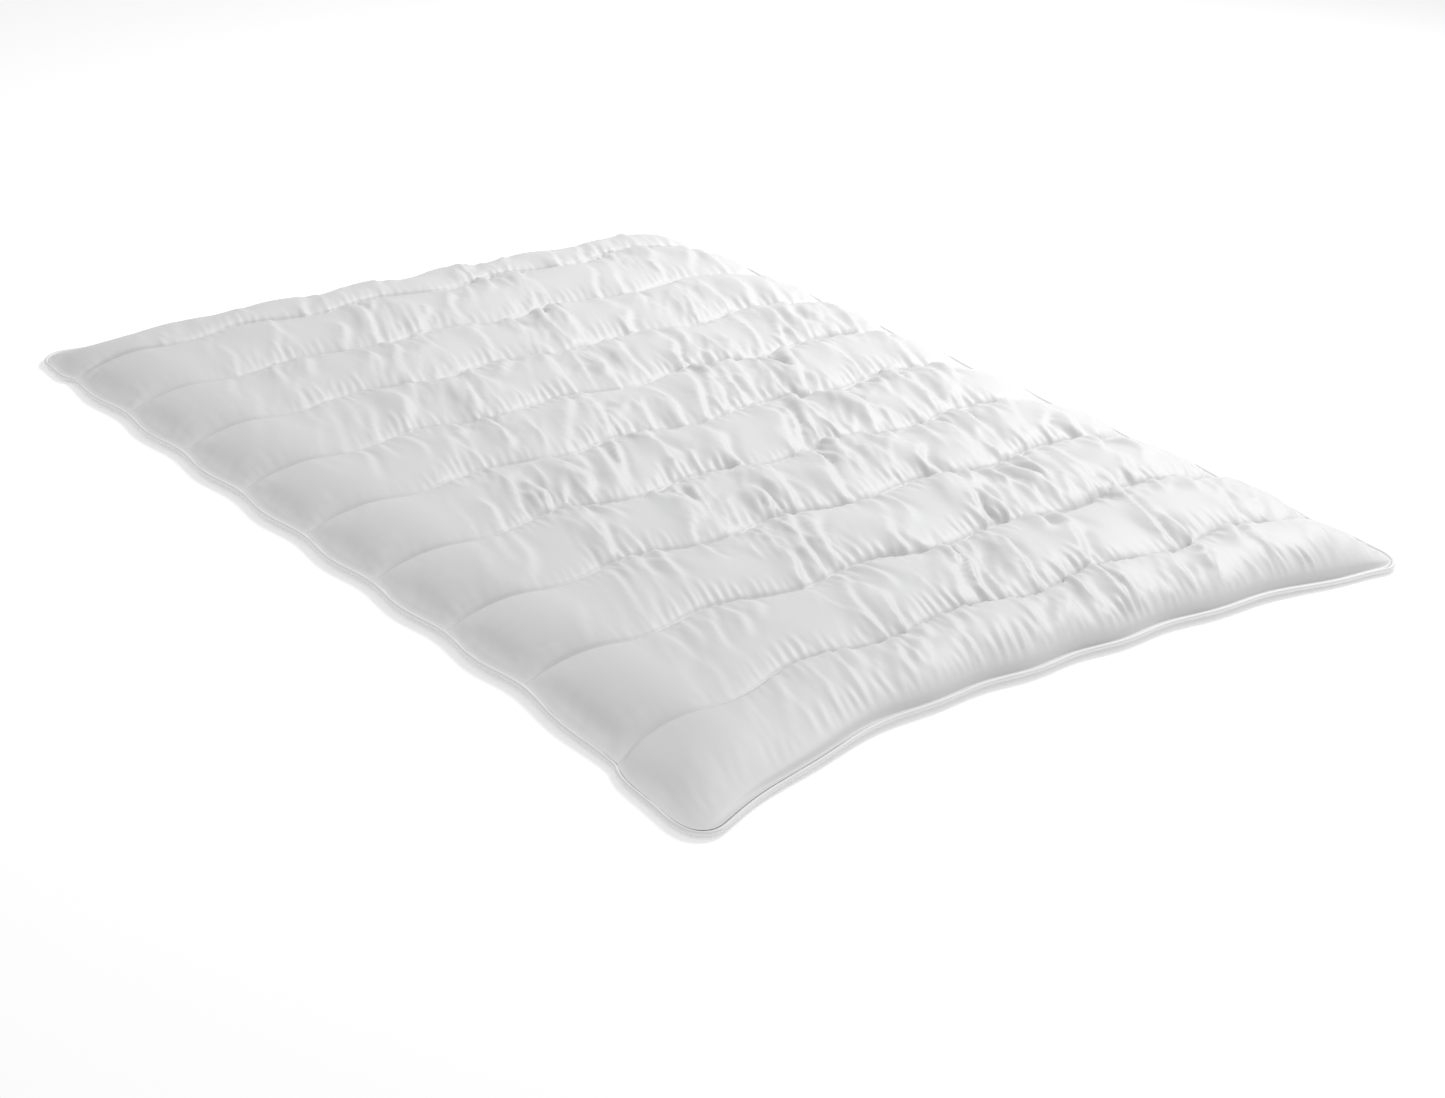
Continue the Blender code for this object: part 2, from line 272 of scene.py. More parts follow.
class Weft:
    """The rows and columns of one cover's cloth, closer together where it is gathered."""

    def __init__(self, height, column_step, plain_step, rows_full, rows_end):
        self.x = self._columns(column_step, plain_step)
        seams = seam_places()
        starts = [-HALF_LENGTH + FLANGE, *seams]
        ends = [*seams, HALF_LENGTH - FLANGE]
        rows, channel = [-HALF_LENGTH, -HALF_LENGTH + FLANGE / 2], [-1, -1]
        for n, (start, end) in enumerate(zip(starts, ends, strict=True)):
            count = rows_full if 0 < n < CHANNELS - 1 else rows_end
            rows.extend(self._even_rows(height, start, end, count)[:-1])
            channel.extend([n] * count)
        rows.extend([HALF_LENGTH - FLANGE, HALF_LENGTH - FLANGE / 2, HALF_LENGTH])
        channel.extend([CHANNELS, CHANNELS, CHANNELS])
        self.y, self.channel = np.array(rows), np.array(channel)
        self.seam_rows = [int(np.argmin(np.abs(self.y - seam))) for seam in seams]
        self.grid_x, self.grid_y = np.meshgrid(self.x, self.y)
        self.grid_y[self.seam_rows] = seams[:, None]

    def _columns(self, step, plain_step):
        """Wider apart on the smooth left side than where the cloth is gathered."""
        plain_end = -HALF_WIDTH + PLAIN_WIDTH
        left_count = 2 * round(PLAIN_WIDTH / plain_step / 2)
        right_count = 2 * round((WIDTH - PLAIN_WIDTH) / step / 2)
        left = np.linspace(-HALF_WIDTH, plain_end, left_count + 1)
        right = np.linspace(plain_end, HALF_WIDTH, right_count + 1)
        return np.concatenate([left[:-1], right])

    def _even_rows(self, height, start, end, count):
        """Rows from one seam to the next, the same length of cloth apart."""
        fine = np.linspace(start, end, 800)
        inner = np.clip(fine, start + 1e-7, end - 1e-7)
        rise = height(np.zeros_like(inner), inner)
        cloth = np.concatenate([[0.0], np.cumsum(np.hypot(np.diff(fine), np.diff(rise)))])
        return np.interp(np.linspace(0, cloth[-1], count + 1), cloth, fine)

    def rows_of(self, channel):
        """The rows of a channel with both its seams, and each row's share across it."""
        found = np.flatnonzero(self.channel == channel)
        rows = np.append(found, found[-1] + 1)
        y = self.y[rows]
        return rows, (y - y[0]) / (y[-1] - y[0])

    def every_second(self):
        """The same cover with every second row and column, seams and edges kept."""
        half = object.__new__(Weft)
        half.x, half.y, half.channel = self.x[::2], self.y[::2], self.channel[::2]
        half.seam_rows = [row // 2 for row in self.seam_rows]
        half.grid_x, half.grid_y = self.grid_x[::2, ::2], self.grid_y[::2, ::2]
        return half

    def length_so_far(self, surface):
        steps = np.linalg.norm(np.diff(surface, axis=0), axis=2).mean(axis=1)
        return np.concatenate([[0.0], np.cumsum(steps)])


def surface_of(weft, height):
    x, y = weft.grid_x, weft.grid_y
    plan_x, plan_y = on_plan(x, y, COVER_INSET)
    return np.stack([plan_x, plan_y, height(x, y)], axis=-1)


def normals_of(surface):
    along_x = np.gradient(surface, axis=1)
    along_y = np.gradient(surface, axis=0)
    normal = np.cross(along_x, along_y)
    return normal / np.maximum(np.linalg.norm(normal, axis=2, keepdims=True), 1e-12)


# ---- creases and gathers

FOLD_LIMIT = 0.016  # a fold half as high as this is made a third lower, so none is a spike
FOLD_SWAY = 0.004
LARGE_FOLDS = (0.016, 0.060, 0.26, 0.9)  # size across, size along, lean, steepness
SMALL_FOLDS = (0.007, 0.026, 0.45, 0.6)
EDGE_CALM = 0.05  # from the edge to where the cloth folds freely
CREST_SLACK = 0.010  # how far a fold may stand above the crest of a channel
WRINKLE_REACH = 9  # columns; wider swellings than this are not wrinkles


def liveliness(x, y):
    """How crumpled the cloth is: smooth along the left side, fullest at the foot's right."""
    from_left, from_foot = x + HALF_WIDTH, y + HALF_LENGTH
    across = 0.10 + 0.45 * smooth((from_left - 0.10) / 0.28) + 0.45 * smooth(from_left / 1.1)
    along = 1.0 - 0.35 * smooth((from_foot - 0.75) / 1.1)
    ear = 1 - 0.9 * np.exp(-((from_left / 0.42) ** 2 + (from_foot / 0.34) ** 2))
    return across * along * ear


def crease_section(offset, gentle, steep, pocket):
    """A gentle rise, a sharp crest, and a pocket beyond its steep side."""
    rise = np.exp(-np.abs(offset / gentle) ** 1.5)
    drop = np.exp(-np.abs(offset / steep) ** 1.3)
    hollow = pocket * np.exp(-(((offset - 2.2 * steep) / (1.7 * steep)) ** 2))
    return np.where(offset < 0, rise, drop) - hollow


def add_crease(field, weft, channel, crease):
    """Adds one crease to the field of heights: a curved line across part of a channel."""
    rows, share = weft.rows_of(channel)
    along = (share - crease["start"]) / (crease["end"] - crease["start"])
    inside = (along > 0) & (along < 1)
    if not inside.any():
        return
    rows, share, along = rows[inside], share[inside], along[inside]
    line = crease["x"] + crease["lean"] * (share - crease["anchor"])
    line = line + crease["bow"] * np.sin(2 * np.pi * (along + crease["phase"]))
    reach = 3.2 * crease["gentle"] + abs(crease["lean"]) + crease["bow"]
    columns = np.flatnonzero(np.abs(weft.x - crease["x"]) < reach)
    if not len(columns):
        return
    swell = np.sin(np.pi * along ** crease["taper"]) ** 0.8
    width = 0.55 + 0.75 * np.abs(share - crease["anchor"])[:, None]
    offset = (weft.x[columns][None, :] - line[:, None]) / width
    section = crease_section(offset, crease["gentle"], crease["steep"], crease["pocket"])
    field[np.ix_(rows, columns)] += crease["height"] * swell[:, None] * section


def wave_share(x):
    """1 on the seams' crests and 0 in their dips."""
    return 0.5 + 0.5 * np.cos(2 * np.pi * (x + HALF_WIDTH - WAVE_START) / WAVE_LENGTH)


def seam_gathers(weft, chance, channel, from_head):
    """The comb of short puckers that the stitching draws up along one side of a channel."""
    sizes = bpy.context.scene.duvet_sizes
    rows, _ = weft.rows_of(channel)
    seam_y = weft.y[rows[-1] if from_head else rows[0]]
    x = -HALF_WIDTH + 0.02
    while x < HALF_WIDTH - 0.01:
        live = 0.22 + 0.78 * float(liveliness(np.array(x), np.array(seam_y)))
        gathered = 0.35 + 0.65 * float(wave_share(x + 0.02))
        length = chance.uniform(0.14, 0.30) * (0.6 + 0.6 * gathered)
        height = sizes.gather_height * live * gathered * chance.uniform(0.45, 1.3)
        height *= 0.7 if from_head else 1.0
        if channel == 0 and not from_head:
            length, height = 2.0 * length, 1.5 * height
        if channel == CHANNELS - 1 and from_head:
            height *= 0.4
        anchor = 1.0 if from_head else 0.0
        yield {
            "x": x,
            "lean": chance.uniform(0.02, 0.07) * (1.0 if not from_head else 0.8),
            "anchor": anchor,
            "start": 1 - length if from_head else -0.10,
            "end": 1.10 if from_head else length,
            "bow": chance.uniform(0.0, 0.003),
            "phase": chance.uniform(0, 1),
            "gentle": chance.uniform(0.0055, 0.0085),
            "steep": chance.uniform(0.0035, 0.0050),
            "pocket": 0.45,
            "taper": 1.0,
            "height": height,
        }
        x += chance.uniform(0.011, 0.021)


def long_creases(weft, chance, channel):
    """The large slanting folds that run far across a channel."""
    sizes = bpy.context.scene.duvet_sizes
    rows, _ = weft.rows_of(channel)
    middle_y = weft.y[rows].mean()
    x = -HALF_WIDTH + 0.10 + chance.uniform(0, 0.05)
    while x < HALF_WIDTH - 0.02:
        live = float(liveliness(np.array(x), np.array(middle_y)))
        hangs = chance.random() < 0.55
        length = chance.uniform(0.45, 0.95)
        yield {
            "x": x,
            "lean": chance.uniform(0.03, 0.11),
            "anchor": 1.0 if hangs else 0.0,
            "start": 1 - length if hangs else -0.04,
            "end": 1.04 if hangs else length,
            "bow": chance.uniform(0.002, 0.010),
            "phase": chance.uniform(0, 1),
            "gentle": chance.uniform(0.016, 0.034),
            "steep": chance.uniform(0.0055, 0.0105),
            "pocket": chance.uniform(0.35, 0.75),
            "taper": chance.uniform(0.75, 1.3),
            "height": sizes.crease_height * live * chance.uniform(0.35, 1.25),
        }
        x += chance.uniform(0.030, 0.075)


def edge_gathers(weft, chance, field):
    """Fine puckers along the piping of both sides."""
    sizes = bpy.context.scene.duvet_sizes
    for side in (-1, 1):
        depth = HALF_WIDTH - side * weft.x
        columns = np.flatnonzero(depth < 0.10)
        y = -HALF_LENGTH + 0.05
        while y < HALF_LENGTH - 0.05:
            rows = np.flatnonzero(np.abs(weft.y - y) < 0.03)
            length = chance.uniform(0.045, 0.095)
            fade = np.clip(1 - depth[columns] / length, 0, 1) ** 0.8
            fade = fade * smooth((depth[columns] - 0.004) / 0.008)
            offset = weft.y[rows][:, None] - y - 0.2 * depth[columns][None, :]
            section = crease_section(offset, 0.010, 0.007, 0.5)
            height = sizes.gather_height * chance.uniform(0.6, 1.5)
            field[np.ix_(rows, columns)] += height * section * fade[None, :]
            y += chance.uniform(0.020, 0.032)


def soft_noise(chance, shape, across, along):
    """Even noise of one size across and along the grid, with a spread of 1."""
    field = np.fft.rfft2(chance.normal(0, 1, shape))
    turn_y = np.fft.fftfreq(shape[0])[:, None]
    turn_x = np.fft.rfftfreq(shape[1])[None, :]
    field *= np.exp(-2 * (np.pi * turn_y * along) ** 2 - 2 * (np.pi * turn_x * across) ** 2)
    noise = np.fft.irfft2(field, shape)
    return noise / noise.std()


def leant(weft, field, lean, chance):
    """The field with its folds leant over to the right at the head, a little unevenly."""
    sway = FOLD_SWAY * soft_noise(chance, (len(weft.y), 8), 2.0, 9.0)[:, 0]
    lines = []
    for row, y, swing in zip(field, weft.y, sway, strict=True):
        lines.append(np.interp(weft.x - lean * y + swing, weft.x, row, period=WIDTH))
    return np.array(lines)


def even_steps(weft):
    """The mean distance between columns, and between rows."""
    return WIDTH / len(weft.x), 2 * HALF_LENGTH / len(weft.y)


def sharp_folds(weft, chance, across, along, lean, steepness):
    """Folds with sharp crests and wide troughs between, steeper on their right."""
    step_x, step_y = even_steps(weft)
    noise = soft_noise(chance, weft.grid_x.shape, across / step_x, along / step_y)
    noise = leant(weft, noise, lean, chance)
    crest = (1 - np.abs(noise) / 1.1).clip(0.0) ** 1.4
    shift = steepness * across * crest
    for row, (line, moved) in enumerate(zip(crest.copy(), shift, strict=True)):
        crest[row] = np.interp(weft.x, np.maximum.accumulate(weft.x + moved), line)
    return crest - 0.25


def fold_patches(weft, chance):
    """Where the folds gather: between the seams' crests and dips, with smooth cells between."""
    x, y = weft.grid_x, weft.grid_y
    step_x, step_y = even_steps(weft)
    patches = soft_noise(chance, x.shape, 0.050 / step_x, 0.045 / step_y)
    phase = np.cos(2 * np.pi * (x - 0.25 * y + HALF_WIDTH - WAVE_START - 0.05) / WAVE_LENGTH)
    return smooth(0.36 + 0.50 * patches + 0.42 * phase) * liveliness(x, y)


def free_share(weft, border=0.03):
    """0 on seams and the sewn edge, where the cloth is held, and 1 between them."""
    share = channel_share(weft.grid_y)
    across = np.sin(np.pi * np.clip(share, 0, 1)).clip(0, 1)
    inside = smooth((edge_distance(weft.grid_x, weft.grid_y) - 0.006) / border)
    return np.minimum(1.0, 6.0 * across) * inside


def fold_field(weft, seed):
    """The large folds and the soft unevenness, as heights above the smooth puffed shape."""
    sizes = bpy.context.scene.duvet_sizes
    chance = np.random.default_rng(seed)
    field = np.zeros(weft.grid_x.shape)
    for channel in range(CHANNELS):
        for crease in long_creases(weft, chance, channel):
            add_crease(field, weft, channel, crease)
    lumps = soft_noise(chance, field.shape, 8, 4) + 0.7 * soft_noise(chance, field.shape, 3, 2)
    live = 0.25 + 0.75 * liveliness(weft.grid_x, weft.grid_y)
    field += sizes.lump_height * lumps * live
    field[weft.seam_rows] = 0.0
    return field * free_share(weft, 0.12)


def pucker_field(weft, seed):
    """The sharp folds, and the fine puckers that the stitching draws up at seams and piping."""
    sizes = bpy.context.scene.duvet_sizes
    chance = np.random.default_rng(seed)
    field = sizes.fold_height * sharp_folds(weft, chance, *LARGE_FOLDS)
    field += 0.45 * sizes.fold_height * sharp_folds(weft, chance, *SMALL_FOLDS)
    field *= fold_patches(weft, chance) * smooth(edge_distance(weft.grid_x, weft.grid_y) / 0.10)
    for channel in range(CHANNELS):
        for from_head in (False, True):
            for crease in seam_gathers(weft, chance, channel, from_head):
                add_crease(field, weft, channel, crease)
    edge_gathers(weft, chance, field)
    field[weft.seam_rows] = 0.0
    return field * free_share(weft)


def without_bulge(moved):
    """The cloth's wrinkles alone, without what moves a whole stretch of a channel together."""
    reach = 2 * WRINKLE_REACH
    padded = np.pad(moved, ((0, 0), (reach, reach), (0, 0)), mode="reflect")
    weights = np.exp(-0.5 * (np.arange(-reach, reach + 1) / WRINKLE_REACH) ** 2)
    weights /= weights.sum()
    even = sum(w * padded[:, n : n + moved.shape[1]] for n, w in enumerate(weights))
    return moved - even


def doubled(values, axis):
    """Twice as many points along an axis, the new ones on a smooth curve through the old."""
    values = np.moveaxis(values, axis, 0)
    before, after = 2 * values[:1] - values[1:2], 2 * values[-1:] - values[-2:-1]
    wide = np.concatenate([before, values, after])
    between = (9 * (wide[1:-2] + wide[2:-1]) - (wide[:-3] + wide[3:])) / 16
    fine = np.empty((2 * len(values) - 1, *values.shape[1:]))
    fine[::2], fine[1::2] = values, between
    return np.moveaxis(fine, 0, axis)


# ---- cloth simulation

CLOTH_SCALE = 10.0  # the solver is steadier on a sheet ten times the size
SETTLE_FRAMES = 40
DRAW_IN_FRAMES = 20
COTTON = {
    "quality": 8,
    "mass": 0.3,
    "tension_stiffness": 15.0,
    "compression_stiffness": 15.0,
    "shear_stiffness": 20.0,
    "bending_stiffness": 0.005,
    "tension_damping": 0.5,
    "compression_damping": 0.5,
    "shear_damping": 0.5,
    "air_damping": 0.2,
    "use_pressure": True,
    "uniform_pressure_force": 6.0,
}


def gather_share(weft):
    """How much wider the cloth was cut than it lies, summed up across the width."""
    sizes = bpy.context.scene.duvet_sizes
    live = liveliness(weft.grid_x, weft.grid_y)
    gather = sizes.gather * (0.25 + 0.75 * live) * (0.5 + wave_share(weft.grid_x))
    step = np.gradient(weft.x)[None, :]
    extra = np.cumsum(gather * step, axis=1)
    return extra - extra[:, [-1]] / 2


def relax_cloth(name, weft, laid, start, settings):
    """Lets the sheet settle as cloth: it starts wider than it lies, and its seams draw it in."""
    scene = bpy.context.scene
    obj = grid_object(name + "_cutting", start * CLOTH_SCALE)
    obj.shape_key_add(name="Basis")
    key = obj.shape_key_add(name="laid")
    key.data.foreach_set("co", (laid * CLOTH_SCALE).astype(np.float32).ravel())
    held = np.zeros(laid.shape[:2], bool)
    held[weft.seam_rows] = True
    held[:2] = held[-2:] = True
    held[:, :2] = held[:, -2:] = True
    group = obj.vertex_groups.new(name="sewn")
    group.add(np.flatnonzero(held.ravel()).tolist(), 1.0, "REPLACE")
    cloth = obj.modifiers.new("cloth", "CLOTH")
    cloth.settings.vertex_group_mass = "sewn"
    for label, value in settings.items():
        setattr(cloth.settings, label, value)
    cloth.settings.effector_weights.gravity = 0.0
    cloth.collision_settings.use_collision = False
    cloth.point_cache.frame_start = 1
    cloth.point_cache.frame_end = SETTLE_FRAMES
    for number in range(1, SETTLE_FRAMES + 1):
        key.value = min(1.0, (number - 1) / DRAW_IN_FRAMES)
        scene.frame_set(number)
    settled = obj.evaluated_get(bpy.context.evaluated_depsgraph_get()).to_mesh()
    points = np.empty(len(settled.vertices) * 3, np.float32)
    settled.vertices.foreach_get("co", points)
    bpy.data.objects.remove(obj, do_unlink=True)
    scene.frame_set(1)
    return points.reshape(laid.shape).astype(float) / CLOTH_SCALE


# ---- making meshes


def select_only(obj):
    bpy.ops.object.select_all(action="DESELECT")
    obj.select_set(True)
    bpy.context.view_layer.objects.active = obj


def grid_object(name, surface):
    """A grid primitive with the surface's rows and columns, laid on it."""
    rows, columns = surface.shape[:2]
    bpy.ops.object.select_all(action="DESELECT")
    bpy.ops.mesh.primitive_grid_add(
        x_subdivisions=columns - 1, y_subdivisions=rows - 1, size=2.0, location=(0, 0, 0)
    )
    obj = bpy.context.active_object
    obj.name = obj.data.name = name
    obj.data.vertices.foreach_set("co", surface.astype(np.float32).ravel())
    obj.data.update()
    obj.data.shade_smooth()
    return obj


def lay_uv(obj, cloth_x, cloth_y):
    """The cloth's own flat measure as its UV map, in metres."""
    mesh = obj.data
    corner = np.empty(len(mesh.loops), np.int32)
    mesh.loops.foreach_get("vertex_index", corner)
    flat = np.stack([cloth_x.ravel(), cloth_y.ravel()], axis=-1)[corner]
    layer = mesh.uv_layers.active or mesh.uv_layers.new(name="cloth")
    layer.data.foreach_set("uv", flat.astype(np.float32).ravel())


def add_mesh(name, points, faces):
    mesh = bpy.data.meshes.new(name)
    mesh.from_pydata(points.tolist(), [], faces.tolist())
    mesh.update()
    obj = bpy.data.objects.new(name, mesh)
    bpy.context.scene.collection.objects.link(obj)
    mesh.shade_smooth()
    return obj


def ring_faces(rings, sides, closed_section, closed_line):
    """Quads between rings of points that follow one another along a line."""
    ring = np.arange(rings if closed_line else rings - 1)[:, None]
    side = np.arange(sides if closed_section else sides - 1)[None, :]
    after, beside = (ring + 1) % rings, (side + 1) % sides
    corners = [ring * sides + side, ring * sides + beside]
    corners += [after * sides + beside, after * sides + side]
    return np.stack(corners, axis=-1).reshape(-1, 4)


def dress(obj, material):
    obj.data.materials.clear()
    obj.data.materials.append(material)


def across_fold(obj):
    """Bakes the placement of cloth that runs on over the middle seam into its mesh."""
    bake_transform(obj)


# ---- materials

COVER_WEAVE, PIPING_WEAVE = 0.0007, 0.0006  # from thread to thread


def new_material(name, colour, roughness, sheen=0.0, specular=0.5):
    material = bpy.data.materials.new(name)
    material.use_nodes = True
    shader = material.node_tree.nodes["Principled BSDF"]
    shader.inputs["Base Color"].default_value = (*colour, 1.0)
    shader.inputs["Roughness"].default_value = roughness
    shader.inputs["Specular IOR Level"].default_value = specular
    shader.inputs["Sheen Weight"].default_value = sheen
    shader.inputs["Sheen Roughness"].default_value = 0.4
    material.diffuse_color = (*colour, 1.0)
    return material, material.node_tree, shader


def add_node(tree, kind, **settings):
    node = tree.nodes.new(kind)
    for label, value in settings.items():
        if label in node.inputs:
            node.inputs[label].default_value = value
        else:
            setattr(node, label, value)
    return node


def shade(tree, shader, source, dark, colour):
    """The colour, a little darker where the source is low."""
    node = add_node(tree, "ShaderNodeValToRGB")
    node.color_ramp.elements[0].color = (*(c * dark for c in colour), 1.0)
    node.color_ramp.elements[1].color = (*colour, 1.0)
    tree.links.new(source, node.inputs["Fac"])
    tree.links.new(node.outputs["Color"], shader.inputs["Base Color"])


def relief(tree, shader, source, strength, height):
    node = add_node(tree, "ShaderNodeBump", Strength=strength, Distance=height)
    tree.links.new(source, node.inputs["Height"])
    tree.links.new(node.outputs["Normal"], shader.inputs["Normal"])


def woven_cotton(name, colour, weave_pitch, bump, cloud=0.03):
    """Satin cotton: a fine weave on the cloth's own UV map, a little cloudy."""
    material, tree, shader = new_material(name, colour, 0.52, sheen=0.10, specular=0.40)
    where = add_node(tree, "ShaderNodeTexCoord").outputs["UV"]
    clouds = add_node(tree, "ShaderNodeTexNoise", Scale=9.0, Detail=3.0, Roughness=0.55)
    tree.links.new(where, clouds.inputs["Vector"])
    shade(tree, shader, clouds.outputs["Fac"], 1 - cloud, colour)
    threads = []
    for direction in ("X", "Y"):
        weave = add_node(
            tree,
            "ShaderNodeTexWave",
            wave_type="BANDS",
            bands_direction=direction,
            Scale=2 * math.pi / (20 * weave_pitch),
            Distortion=0.6,
            Detail=1.0,
        )
        weave.inputs["Detail Scale"].default_value = 2.0
        tree.links.new(where, weave.inputs["Vector"])
        threads.append(weave.outputs["Fac"])
    mix = add_node(tree, "ShaderNodeMath", operation="MULTIPLY")
    tree.links.new(threads[0], mix.inputs[0])
    tree.links.new(threads[1], mix.inputs[1])
    relief(tree, shader, mix.outputs["Value"], bump, 0.00006)
    return material


def loose_fibre(name, colour):
    """Soft filling: fine tangled fibres, matt."""
    material, tree, shader = new_material(name, colour, 0.95, sheen=0.3, specular=0.1)
    where = add_node(tree, "ShaderNodeTexCoord").outputs["Object"]
    tufts = add_node(tree, "ShaderNodeTexNoise", Scale=55.0, Detail=8.0, Roughness=0.7)
    tree.links.new(where, tufts.inputs["Vector"])
    shade(tree, shader, tufts.outputs["Fac"], 0.88, colour)
    relief(tree, shader, tufts.outputs["Fac"], 0.6, 0.002)
    return material


def spun_thread(name, colour, pitch):
    """Twisted yarn: slanting plies along the thread's own UV map."""
    material, tree, shader = new_material(name, colour, 0.45, sheen=0.2, specular=0.4)
    where = add_node(tree, "ShaderNodeTexCoord").outputs["UV"]
    plies = add_node(
        tree, "ShaderNodeTexWave", bands_direction="DIAGONAL", Scale=2 * math.pi / (20 * pitch)
    )
    tree.links.new(where, plies.inputs["Vector"])
    shade(tree, shader, plies.outputs["Fac"], 0.85, colour)
    relief(tree, shader, plies.outputs["Fac"], 0.5, 0.0001)
    return material


# ---- settings


def a_length(name, default, description):
    return bpy.props.FloatProperty(
        name=name, description=description, default=default, subtype="DISTANCE", unit="LENGTH"
    )


def a_share(name, default, low, high, description):
    return bpy.props.FloatProperty(
        name=name, description=description, default=default, min=low, max=high
    )


def a_colour(name, default, description):
    return bpy.props.FloatVectorProperty(
        name=name, description=description, default=default, subtype="COLOR"
    )


class DuvetSizes(bpy.types.PropertyGroup):
    fullness: a_share(
        "Fullness", 0.44, 0.3, 1.0,
        "Lower values make the channels rise more steeply at their seams",
    )
    crease_height: a_length("Crease height", 0.0115, "Height of the large slanting folds")
    fold_height: a_length("Fold height", 0.0095, "Height of the sharp folds between two seams")
    gather_height: a_length("Pucker height", 0.0036, "Height of the puckers along the seams")
    lump_height: a_length("Unevenness", 0.0012, "Height of the filling's soft unevenness")
    gather: a_share(
        "Gather", 0.10, 0.0, 0.3, "How much wider the cloth is cut than it lies, as a share"
    )
    wrinkle_share: a_share(
        "Wrinkle strength", 1.0, 0.0, 3.0,
        "How strongly the settled cloth's wrinkles show, as a share",
    )
    side_bulge: a_length("Edge bulge", 0.010, "How far the edge swells out between two seams")
    stitch_length: a_length("Stitch length", 0.0036, "Length of one stitch with its gap")


class DuvetColours(bpy.types.PropertyGroup):
    cotton: a_colour("Cotton", (0.72, 0.72, 0.725), "Colour of the covers")
    # painted light: the piping strip is the covers' cotton, given a lighter colour so its roll
    # reads as lit instead of shaded
    piping: a_colour("Piping", (0.84, 0.84, 0.845), "Colour of the strip round the piping cord")
    filling: a_colour("Filling", (0.85, 0.85, 0.83), "Colour of the filling and the piping cord")
    thread: a_colour("Thread", (0.78, 0.78, 0.79), "Colour of the quilting threads")
    floor: a_colour("Floor", (0.97, 0.97, 0.97), "Colour of the floor")


# ---- the pieces


class DUVET_OT_top_cover(bpy.types.Operator):
    """Makes the top cover: one sheet of satin cotton, puffed and gathered along the seams"""

    bl_idname = "duvet.top_cover"
    bl_label = "Top cover"

    def execute(self, context):
        weft = Weft(top_height, **TOP_GRID)
        smooth_shape = surface_of(weft, top_height)
        coarse = weft.every_second()
        laid = smooth_shape[::2, ::2]
        folded = laid + normals_of(laid) * fold_field(coarse, seed=11)[:, :, None]
        moved = without_bulge(folded - laid)
        start = folded.copy()
        start[:, :, 0] += gather_share(coarse)
        settled = relax_cloth("top_cover", coarse, laid, start, COTTON)
        moved += context.scene.duvet_sizes.wrinkle_share * without_bulge(settled - laid)
        from_edge = edge_distance(coarse.grid_x, coarse.grid_y) - FLANGE
        moved *= smooth(from_edge / EDGE_CALM)[:, :, None]
        moved /= 1 + np.linalg.norm(moved, axis=2, keepdims=True) / FOLD_LIMIT
        moved = doubled(doubled(moved, 0), 1)
        moved[weft.seam_rows] = 0.0
        shape = smooth_shape + moved
        shape += normals_of(shape) * pucker_field(weft, seed=12)[:, :, None]
        shape[:, :, 2] = np.minimum(shape[:, :, 2], LOFT + CREST_SLACK)
        obj = grid_object("satin_top_cover", shape)
        cloth_y = weft.length_so_far(smooth_shape)[:, None] * np.ones_like(weft.grid_x)
        lay_uv(obj, weft.grid_x + gather_share(weft), cloth_y)
        colour = tuple(context.scene.duvet_colours.cotton)
        dress(obj, woven_cotton("satin cotton", colour, COVER_WEAVE, bump=0.12))
        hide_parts("top_cover")
        across_fold(obj)
        return {"FINISHED"}


class DUVET_OT_bottom_cover(bpy.types.Operator):
    """Makes the bottom cover: one sheet of the same cotton, flat where it rests"""

    bl_idname = "duvet.bottom_cover"
    bl_label = "Bottom cover"

    def execute(self, context):
        weft = Weft(bottom_height, **BOTTOM_GRID)
        smooth_shape = surface_of(weft, bottom_height)
        field = 0.35 * fold_field(weft, seed=23) + 0.6 * pucker_field(weft, seed=24)
        shape = smooth_shape - normals_of(smooth_shape) * field[:, :, None]
        shape[:, :, 2] = np.maximum(shape[:, :, 2] + GROUND_SLACK, 0.0)
        obj = grid_object("satin_bottom_cover", shape)
        obj.data.flip_normals()
        cloth_y = weft.length_so_far(smooth_shape)[:, None] * np.ones_like(weft.grid_x)
        lay_uv(obj, weft.grid_x, cloth_y)
        colour = tuple(context.scene.duvet_colours.cotton)
        cotton = woven_cotton("satin cotton underside", colour, COVER_WEAVE, bump=0.12)
        dress(obj, cotton)
        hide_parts("bottom_cover")
        across_fold(obj)
        return {"FINISHED"}


